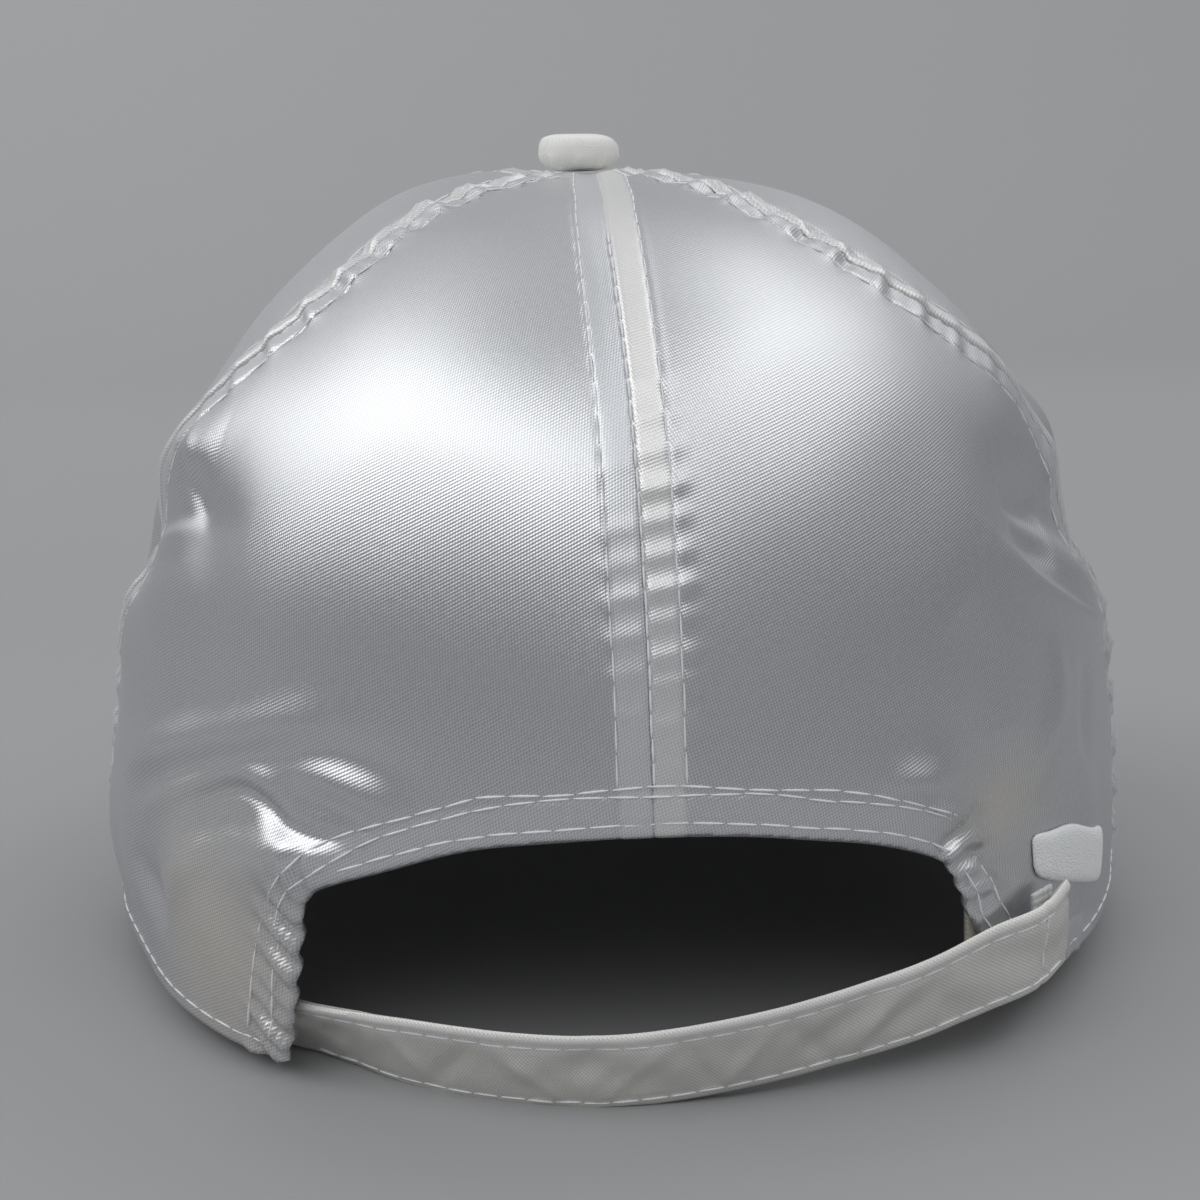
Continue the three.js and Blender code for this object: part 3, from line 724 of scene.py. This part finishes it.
def thread_object(name, threads):
    """One piece from all these stitches."""
    piece = piece_of(name, threads)
    piece.data.materials.append(white_thread)
    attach(piece, "root")


white_thread = bpy.data.materials.new("white_thread")
white_thread.use_nodes = True
twist = white_thread.node_tree
thread_surface = twist.nodes["Principled BSDF"]
thread_surface.inputs["Base Color"].default_value = (0.86, 0.87, 0.9, 1)
thread_surface.inputs["Roughness"].default_value = 0.42
thread_place = twist.nodes.new("ShaderNodeTexCoord")
ply = twist.nodes.new("ShaderNodeTexNoise")
ply.inputs["Scale"].default_value = 2400
ply_height = twist.nodes.new("ShaderNodeBump")
ply_height.inputs["Strength"].default_value = 0.5
ply_height.inputs["Distance"].default_value = 0.00005
twist.links.new(thread_place.outputs["Object"], ply.inputs["Vector"])
twist.links.new(ply.outputs["Fac"], ply_height.inputs["Height"])
twist.links.new(ply_height.outputs["Normal"], thread_surface.inputs["Normal"])

ARCH_TOP_UP = 17.5   # degrees up the crown at the arch's top, where the centre rows start
seam_threads = bmesh.new()
for number, name in enumerate(SEAM_PATHS):
    foot = ARCH_TOP_UP if name == "centre" else 1
    ups = np.linspace(foot, 87.2, 260)
    seam_around = smooth_curve(SEAM_PATHS[name], ups)
    for offset in (-ROW_GAUGE, ROW_GAUGE):
        row_around, row_up = beside(seam_around, ups, offset)
        sew_on_crown(seam_threads, row_around, row_up, seed=number * 2 + (offset > 0))
# The seam's own thread shows in its crease.
ups = np.linspace(ARCH_TOP_UP, 70, 200)
sew_on_crown(seam_threads, smooth_curve(SEAM_PATHS["centre"], ups) - 0.12, ups, proud=0.18,
             stitch=3.4, gap=0.2, radius=0.2)
thread_object("seam_topstitching", seam_threads)

arch_threads = bmesh.new()
corners = [int(np.abs(arch_around - corner).argmin()) for corner in ARCH_CORNERS]
turn_starts = int(np.abs(arch_around - 15.5).argmin())
rim, over = slice(corners[0], corners[1], 4), slice(corners[0], turn_starts, 4)
right_post = slice(8, corners[0] - 12, 4)
# The two outer rows turn the left corner and run down beside the opening: degrees, millimetres.
OUTER_TURN = [(27.5, 39.5), (32.2, 35.5), (35, 30.6), (37.2, 26.2), (39, 21), (40, 14.5), (40.8, 8),
              (41.3, 2.5)]
INNER_TURN = [(25.2, 39), (29, 35.4), (31.8, 32.2), (34.6, 28.4), (36.5, 22), (37.2, 16.5), (37.4, 10),
              (38, 2.5)]
for part, offset, wave, turning, radius in (
        (rim, ARCH_ROWS[0], 0.12, None, 0.2), (over, ARCH_ROWS[1] - 0.3, 0.2, INNER_TURN, 0.19),
        (over, ARCH_ROWS[1] + 0.8, -0.3, OUTER_TURN, 0.19),
        (right_post, 2.0, 0.3, None, 0.18), (right_post, 6.2, 0.5, None, 0.18)):
    edge_around, edge_up = arch_around[part], np.maximum(arch_up[part], 0.1)
    spread = offset + wave * np.sin(np.linspace(0, 17, len(edge_around)))
    row_around, row_up = beside(edge_around, edge_up, spread)
    if turning:
        start = (row_around[-1], crown_point(row_around, row_up)[-1, 2])
        turn_around, turn_height = path_through([start] + turning, 160)
        row_around = np.append(row_around, turn_around[1:])
        row_up = np.append(row_up, up_of_height(turn_height[1:]))
    sew_on_crown(arch_threads, row_around, np.maximum(row_up, 0.2), radius=radius,
                 seed=31 + int(offset * 10))
thread_object("arch_topstitching", arch_threads)

HEM_ROW = 2.2        # millimetres above the hem's edge
hem_threads = bmesh.new()
hem_around = np.concatenate([np.linspace(38, 180, 240), np.linspace(180.5, 322, 240)])
hem_up = up_of_height(np.full(len(hem_around), HEM_ROW))
sew_on_crown(hem_threads, hem_around, hem_up, seed=41)
thread_object("hem_topstitching", hem_threads)

# ---------------------------------------------------------------- top button
# A metal shell covered with a round of satin, pressed on where the panels meet. The cloth is
# drawn over the rim and gathers into small pleats underneath.
button_cloth = cloth_material("button_satin", line_counts(0.4, 20), line_counts(0.42, 110),
                              bright=(0.96, 0.96, 0.93), shade=(0.84, 0.84, 0.8),
                              metallic=0.0, roughness=0.5, anisotropic=0.0, bump=0.00004)
BUTTON_RADIUS, BUTTON_RISE, BUTTON_DROP = 7.1, 3.4, 3.0
dome = bmesh.new()
bmesh.ops.create_uvsphere(dome, u_segments=96, v_segments=48, radius=1)
dome_shape = np.array([v.co for v in dome.verts])
turn = np.arctan2(dome_shape[:, 1], dome_shape[:, 0])
level = dome_shape[:, 2]
out = np.hypot(dome_shape[:, 0], dome_shape[:, 1])
reach = BUTTON_RADIUS * np.maximum(out, 1e-6) ** 0.52
under = np.clip(-level, 0, 1)
gathered = 0.3 * np.sin(turn * 9 + 0.6 * np.sin(turn * 2)) + 0.18 * np.sin(turn * 17 + 1)
reach = reach + under**0.6 * out * gathered - 1.1 * under**1.5 * out
height = BUTTON_DROP + np.where(level > 0, BUTTON_RISE * np.abs(level) ** 0.68,
                                -BUTTON_DROP * np.abs(level) ** 0.9)
tilted = 0.45 * np.cos(turn - 0.5) * out * np.clip(level + 0.5, 0, 1)
rim = 0.12 * ridge(np.arccos(np.clip(level, -1, 1)), 0.95, 0.16)
height = height + tilted + rim * np.clip(np.cos(turn - 1.2) + 0.5, 0, 1)
button_places = np.stack([reach * np.cos(turn) + TOP_SHIFT, reach * np.sin(turn),
                          CROWN_HEIGHT + 0.35 + height], -1)
button = piece_of("top_button_satin", dome, at_rest(button_places))
thread_lines(button.data, reach * np.cos(turn), reach * np.sin(turn) + height)
button.data.materials.append(button_cloth)
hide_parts("top_button")
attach(button, "root")

# ---------------------------------------------------------------- peak
# A stiff curved board covered with the same satin, sewn under the front of the hem, with rows
# of stitching that follow its outer edge.
PEAK_REACH, PEAK_FAN = 58, 40    # degrees to its ends, and degrees that its ends turn out
PEAK_LENGTH, PEAK_TIP, PEAK_THICKNESS = 70, 2.5, 3.2
PEAK_SAG, PEAK_SLOPE = 12, 0.2   # how far its ends fall, and its fall towards the front
PEAK_ROWS = [3.5 + 8 * row for row in range(6)]    # millimetres in from the outer edge


def peak_length(across):
    """From the hem to the outer edge, in millimetres."""
    return PEAK_TIP + (PEAK_LENGTH - PEAK_TIP) * np.clip(1 - np.abs(across) ** 2.6, 0, 1) ** 0.6


def peak_point(across, forwards):
    """The board's upper face: across it from -1 to 1, and forwards from the crown's hem."""
    around = 180 + PEAK_REACH * across
    hem = np.zeros(len(around))
    root = crown_point(around, hem)
    heading = np.radians(PEAK_FAN * across)
    ahead = np.stack([-np.sin(heading), -np.cos(heading), hem], -1)
    point = root + ahead * (peak_length(across) * forwards)[:, None]
    point = point - 0.6 * crown_outward(around, hem)
    end = crown_point(np.array([180.0 - PEAK_REACH]), np.zeros(1))[0]
    at_point, at_root = (
        PEAK_SAG * (place[:, 0] / end[0]) ** 2 + PEAK_SLOPE * np.maximum(end[1] - place[:, 1], 0)
        for place in (point, root))
    point[:, 2] = root[:, 2] - at_point + at_root - 0.3
    return point


def round_edges(piece, name, width, segments):
    """Rounds the sharp edges of the wall."""
    edge = piece.modifiers.new(name, "BEVEL")
    edge.width = width
    edge.segments = segments
    edge.limit_method = "ANGLE"
    edge.angle_limit = math.radians(50)


board, share, ahead = grid_cloth(110, 40)
across = np.sin((share - 0.5) * math.pi)
peak_places = peak_point(across, 1 - ahead)
peak_cover = piece_of("peak_satin", board, at_rest(peak_places))
thread_lines(peak_cover.data, peak_places[:, 0], peak_places[:, 1])
# The rim has a material of its own, because threads can't be followed round it.
thicken(peak_cover, PEAK_THICKNESS * 0.001).material_offset_rim = 1
round_edges(peak_cover, "rolled_edge", width=0.0011, segments=3)
peak_edge = cloth_material("satin_turned_edge", (0, 0, 0), (0, 0, 0),
                           bright=(0.82, 0.83, 0.85), shade=(0.6, 0.61, 0.63),
                           metallic=0.8, roughness=0.42, anisotropic=0.0, bump=0.00003)
peak_cover.data.materials.append(front_satin)
peak_cover.data.materials.append(peak_edge)
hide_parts("peak")
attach(peak_cover, "root")

peak_threads = bmesh.new()
for row, inset in enumerate(PEAK_ROWS):
    across = np.linspace(-0.95, 0.95, 260)
    forwards = 1 - inset / peak_length(across)
    across, forwards = across[forwards > 0.06], forwards[forwards > 0.06]
    places = at_rest(peak_point(across, forwards) + np.array([0, 0, 0.05]))
    upright = np.tile([0, 0, 1.0], (len(places), 1))
    sew_row(peak_threads, places, upright, seed=50 + row)
thread_object("peak_topstitching", peak_threads)

# ---------------------------------------------------------------- sweatband
# A band of cotton twill inside the hem, from one foot of the arch round the front to the other.
# It lies close against the lining and shows through the arch and from below.
twill = cloth_material("cotton_twill", line_counts(0.7, 45), line_counts(0.5, -50),
                       bright=(0.72, 0.68, 0.6), shade=(0.52, 0.48, 0.42),
                       metallic=0.0, roughness=0.85, anisotropic=0.0, bump=0.0001)
BAND_RIGHT_END, BAND_LEFT_END = 327.6, 47
BAND_FOOT, BAND_TOP, BAND_DEPTH = 0.6, 27, 1.65
tape, share, rise = grid_cloth(220, 12)
around = BAND_RIGHT_END + (BAND_LEFT_END - BAND_RIGHT_END) * share
level = BAND_FOOT + (BAND_TOP - BAND_FOOT) * rise
up = up_of_height(level)
bare = crown_point(around, up)
depth = fold_depth(around, up, bare[:, 2]) - BAND_DEPTH - 0.15 * ridge(level, BAND_TOP, 1.2)
band_places = bare + crown_outward(around, up) * depth[:, None]
sweatband = piece_of("sweatband_twill", tape, at_rest(band_places))
thread_lines(sweatband.data, np.radians(around) * (HALF_WIDTH + HALF_LENGTH) / 2, level)
thicken(sweatband, 0.001)
sweatband.data.materials.append(twill)
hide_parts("sweatband")
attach(sweatband, "root")

# ---------------------------------------------------------------- closure strap
# A strip of satin folded double, sewn behind the left foot of the arch and closed over the
# right. Its upper edge is rolled, rows run along both edges, and it creases as it bends.
SEWN_END, FREE_END, SEWN_DOWN = 45.5, -42.8, -38.6    # degrees around
STRAP_WIDTH = 14.4
ALONG_STRAP = 1.68   # millimetres for a degree around
# Each row: degrees around, stand off, top, width, inward lean.
STRAP = np.array([
    (SEWN_END, -1.7, 8.2, 12, 22), (37, -2.2, 8.8, STRAP_WIDTH, 30), (23.7, -1.4, 10.9, 15.6, 22),
    (5, -0.6, 11.2, 14.8, 18), (-9, -0.6, 13, 14.8, 17), (-18.5, -1, 14.2, STRAP_WIDTH, 13),
    (-26.5, 1, 16.4, STRAP_WIDTH, 9), (-33, 2.9, 18.9, STRAP_WIDTH, 4), (-38, 5.4, 20.4, 14, 2),
    (FREE_END, 4.6, 21.6, 14, 0),
])
# Each crease across it: millimetres along, slant, depth.
STRAP_CREASES = [
    (52, 0.5, -0.7), (41, -0.6, 0.6), (33, 0.8, -0.8), (21, -0.9, 0.7), (12, 0.4, -0.6), (3, 1.0, 0.7),
    (-6, -0.5, -0.8), (-15, 0.7, 0.6), (-24, -0.8, -0.6), (-36, 0.5, 0.5), (-47, -0.5, -0.5),
]


def strap_point(around, down, proud=0.0):
    """The strap's outer face: degrees around, and the share of its width below the upper edge."""
    stand, top, width, lean = curve_through(STRAP[:, 0], STRAP[:, 1:], around).T
    up = up_of_height(top)
    outward = crown_outward(around, up) * np.array([1, 1, 0])
    outward /= np.linalg.norm(outward, axis=1, keepdims=True)
    below = width * down
    above = width - below
    rolled = 0.3 * ridge(below, 1.1, 0.8) - 0.28 * ridge(below, 2.6, 0.5) - 0.5 * ridge(below, 0, 0.35)
    rolled -= 0.18 * ridge(above, 1.5, 0.4) + 0.35 * ridge(above, 0, 0.3)
    run = around * ALONG_STRAP
    coarse = 0.55 * np.sin(run / 3.6 + below / 2.6) * (0.5 + 0.5 * np.sin(run / 11 + 1))
    fine = 0.42 * np.sin(run / 2.3 - below / 1.9 + 2) * (0.5 + 0.5 * np.sin(run / 7.3))
    creases = (coarse + fine) * ridge(below, width / 2, 4.2)
    for middle, slant, most in STRAP_CREASES:
        crossing = ridge(run, middle + slant * (below - width / 2), 2.2)
        creases += most * crossing * ridge(below, width / 2 + 1, 4.6)
    ending = -0.25 * ridge(around, SEWN_DOWN, 0.3)
    moved = stand + rolled + creases + ending + proud - below * np.sin(np.radians(lean))
    point = crown_point(around, up) + outward * moved[:, None]
    point[:, 2] = top - below * np.cos(np.radians(lean))
    return point, outward


strip, share, fall = grid_cloth(260, 26)
around = SEWN_END + (FREE_END - SEWN_END) * share
strap_places, _ = strap_point(around, 1 - fall)
strap = piece_of("closure_strap_satin", strip, at_rest(strap_places))
thread_lines(strap.data, around * ALONG_STRAP, fall * 14)
# The rolled upper edge gets a painted highlight, warmer and brighter, and scatters more.
rolled_top = shelf((1 - fall) * STRAP_WIDTH, 2.6, 0.3)
keep_on_vertices(strap.data, "tint_and_painted_light", 0.7 * rolled_top)
keep_on_vertices(strap.data, "scatter", rolled_top)
thicken(strap, 0.0015)
round_edges(strap, "soft_edge", width=0.0004, segments=2)
# Its warm colour is the painted highlight on the rolled top edge.
strap_satin = cloth_material("strap_satin", line_counts(0.42, 40), line_counts(0.45, -50),
                             bright=(0.9, 0.9, 0.86), shade=(0.64, 0.64, 0.6),
                             metallic=0.55, roughness=0.34, anisotropic=0.3, bump=0.00008,
                             warm=(0.93, 0.93, 0.9))
strap.data.materials.append(strap_satin)
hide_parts("closure_strap")
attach(strap, "root")

strap_threads = bmesh.new()
along_strap = np.linspace(38, -42, 300)
for down, seed in ((0.185, 61), (0.905, 62)):
    places, outward = strap_point(along_strap, np.full(300, down), 0.05)
    sew_row(strap_threads, at_rest(places), outward, stitch=4.2, radius=0.16, seed=seed)
ending, outward = strap_point(np.full(60, SEWN_DOWN), np.linspace(0.1, 0.95, 60), 0.05)
sew_row(strap_threads, at_rest(ending), outward, stitch=3.2, radius=0.16, seed=63)
thread_object("strap_topstitching", strap_threads)

# ---------------------------------------------------------------- hook and loop patches
# A white patch of loop pile is sewn on the right back panel, and a patch of hooks behind the
# strap's free end grips it.
pile, given, made = new_group(
    "nylon_pile",
    [("Place", "NodeSocketVector"), ("Scale", "NodeSocketFloat"), ("Randomness", "NodeSocketFloat"),
     ("Tips", "NodeSocketColor"), ("Hollows", "NodeSocketColor")],
    [("Tone", "NodeSocketColor"), ("Depth", "NodeSocketFloat")],
)
cells = pile.nodes.new("ShaderNodeTexVoronoi")
pile.links.new(given.outputs["Place"], cells.inputs["Vector"])
pile.links.new(given.outputs["Scale"], cells.inputs["Scale"])
pile.links.new(given.outputs["Randomness"], cells.inputs["Randomness"])
# Darker towards each cell's edge: painted shade in the hollows between the loops or hooks.
tone = mixed(pile, cells.outputs["Distance"], given.outputs["Tips"], given.outputs["Hollows"])
pile.links.new(tone, made.inputs["Tone"])
pile.links.new(cells.outputs["Distance"], made.inputs["Depth"])


def pile_material(name, roughness, bump, **pattern):
    """Nylon pile: one tone on its loops or hooks, and a painted shade in the hollows between them."""
    material = bpy.data.materials.new(name)
    material.use_nodes = True
    tree = material.node_tree
    surface = tree.nodes["Principled BSDF"]
    surface.inputs["Roughness"].default_value = roughness
    nylon = tree.nodes.new("ShaderNodeGroup")
    nylon.node_tree = pile
    for label, value in pattern.items():
        nylon.inputs[label].default_value = value
    height = tree.nodes.new("ShaderNodeBump")
    height.invert = True
    height.inputs["Strength"].default_value, height.inputs["Distance"].default_value = bump
    place = tree.nodes.new("ShaderNodeTexCoord")
    tree.links.new(place.outputs["Object"], nylon.inputs["Place"])
    tree.links.new(nylon.outputs["Tone"], surface.inputs["Base Color"])
    tree.links.new(nylon.outputs["Depth"], height.inputs["Height"])
    tree.links.new(height.outputs["Normal"], surface.inputs["Normal"])
    return material, surface


loop_pile, pile_surface = pile_material(
    "loop_pile", roughness=0.8, bump=(0.8, 0.00018), Scale=3000, Randomness=1,
    Tips=(0.95, 0.97, 0.97, 1), Hollows=(0.86, 0.88, 0.88, 1))
pile_surface.inputs["Sheen Weight"].default_value = 0.5
LOOP_MIDDLE, LOOP_HALF = (-48.9, 18.4), (7.6, 5)     # degrees around, millimetres up
HOOK_MIDDLE, HOOK_HALF = (-40.9, 12.2), (1.6, 5)

patch, share, rise = grid_cloth(70, 40)
side, level = 1 - 2 * share, 2 * rise - 1
rounded = (np.abs(side) ** 5 + np.abs(level) ** 5) ** 0.2
round_in = np.maximum(np.abs(side), np.abs(level)) / np.maximum(rounded, 1e-6)
side, level = side * round_in, level * round_in
around = LOOP_MIDDLE[0] + LOOP_HALF[0] * side
height = LOOP_MIDDLE[1] + 4 * side + LOOP_HALF[1] * level * (1 - 0.12 * side)
height = height + 0.5 * np.sin(side * 5 + 1) * np.clip(level, 0, 1)
pile_edge = np.clip(1 - (np.abs(side) ** 5 + np.abs(level) ** 5), 0, 1) ** 0.5
places, _, _ = cloth_point(around, up_of_height(height), 0.35 + 0.95 * pile_edge,
                           seams=("right",), arch=False)
loop_patch = piece_of("loop_tape_pile", patch, at_rest(places))
thicken(loop_patch, 0.0004)
loop_patch.data.materials.append(loop_pile)
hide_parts("loop_tape")
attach(loop_patch, "root")

# The hooks' hollows get a dark painted shade.
hooks, _ = pile_material(
    "nylon_hooks", roughness=0.45, bump=(0.9, 0.0004), Scale=900, Randomness=0.2,
    Tips=(0.88, 0.89, 0.88, 1), Hollows=(0.52, 0.53, 0.52, 1))
grip, share, rise = grid_cloth(16, 40)
around = HOOK_MIDDLE[0] + HOOK_HALF[0] * (1 - 2 * share)
height = HOOK_MIDDLE[1] + HOOK_HALF[1] * (2 * rise - 1)
places, _, _ = cloth_point(around, up_of_height(height), 2.2, seams=(), arch=False)
hook_patch = piece_of("hook_tape_hooks", grip, at_rest(places))
thicken(hook_patch, 0.0006)
hook_patch.data.materials.append(hooks)
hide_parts("hook_tape")
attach(hook_patch, "root")

# ---------------------------------------------------------------- floor, light and camera
# A pale grey floor curves up all round, in the even grey of a room. Soft lights stand beside and
# behind the cap, weaker ones in front, and one lights the backdrop that is seen above the cap.
FLAT_FLOOR, FLOOR_CURVE = 1.5, 1.3
paper = bmesh.new()
sweep = [paper.verts.new((reach, 0, 0)) for reach in (0, 0.5, 1, FLAT_FLOOR)]
sweep += [paper.verts.new((FLAT_FLOOR + FLOOR_CURVE * math.sin(turn), 0,
                           FLOOR_CURVE - FLOOR_CURVE * math.cos(turn)))
          for turn in np.radians(np.linspace(7.5, 90, 12))]
profile = [paper.edges.new(pair) for pair in zip(sweep, sweep[1:])]
bmesh.ops.spin(paper, geom=sweep + profile, axis=(0, 0, 1), cent=(0, 0, 0), steps=72,
               angle=2 * math.pi, use_merge=True)
bmesh.ops.remove_doubles(paper, verts=paper.verts, dist=0.0001)
bmesh.ops.recalc_face_normals(paper, faces=paper.faces)
floor = piece_of("floor", paper)
if floor.data.polygons[0].normal.z < 0:
    floor.data.flip_normals()
floor_paint = bpy.data.materials.new("floor_paint")
floor_paint.use_nodes = True
floor_surface = floor_paint.node_tree.nodes["Principled BSDF"]
floor_surface.inputs["Base Color"].default_value = (0.37, 0.373, 0.38, 1)
floor_surface.inputs["Roughness"].default_value = 0.7
floor.data.materials.append(floor_paint)

room = bpy.data.worlds.new("room")
room.use_nodes = True
room.node_tree.nodes["Background"].inputs["Color"].default_value = (0.49, 0.495, 0.505, 1)
bpy.context.scene.world = room
CAP_MIDDLE = (0, 0.03, 0.08)


def soft_light(name, place, width, length, power, aim=CAP_MIDDLE):
    """A rectangular light, turned towards its aim."""
    lamp = bpy.data.lights.new(name, "AREA")
    lamp.shape = "RECTANGLE"
    lamp.size, lamp.size_y, lamp.energy = width, length, power
    light = bpy.data.objects.new(name, lamp)
    light.location = place
    light.rotation_euler = (Vector(aim) - Vector(place)).to_track_quat("-Z", "Y").to_euler()
    bpy.context.scene.collection.objects.link(light)


soft_light("left_side", (1.68, -0.20, 1.40), 0.9, 1.5, 7.2)
soft_light("left_rear", (0.95, 1.30, 1.58), 3.2, 0.8, 12.6)
soft_light("right_rear", (-1.23, 0.43, 1.86), 2.4, 0.9, 8.2)
soft_light("front_left", (0.97, -0.78, 1.88), 1.0, 0.9, 1.0)
soft_light("front_right", (-0.97, -0.78, 1.88), 1.0, 0.9, 2.6)
soft_light("backdrop", (0.9, -0.9, 2.3), 2.0, 0.8, 26.0, aim=(0.5, -2.9, 1.9))

# The camera stands close behind the cap, a little lower than the top button.
CAMERA_PLACE = (0.01913, 0.37095, 0.12259)
CAMERA_TURN = (78.939, 1.678, 176.611)    # degrees: up from straight down, over, and round
lens = bpy.data.cameras.new("camera")
lens.lens = 54.32
lens.sensor_width = 36
lens.clip_start, lens.clip_end = 0.01, 50
camera = bpy.data.objects.new("camera", lens)
turned = Euler([math.radians(degrees) for degrees in CAMERA_TURN])
camera.matrix_world = Matrix.LocRotScale(Vector(CAMERA_PLACE), turned, None)
bpy.context.scene.collection.objects.link(camera)
bpy.context.scene.camera = camera
bpy.context.scene.view_settings.view_transform = "Standard"
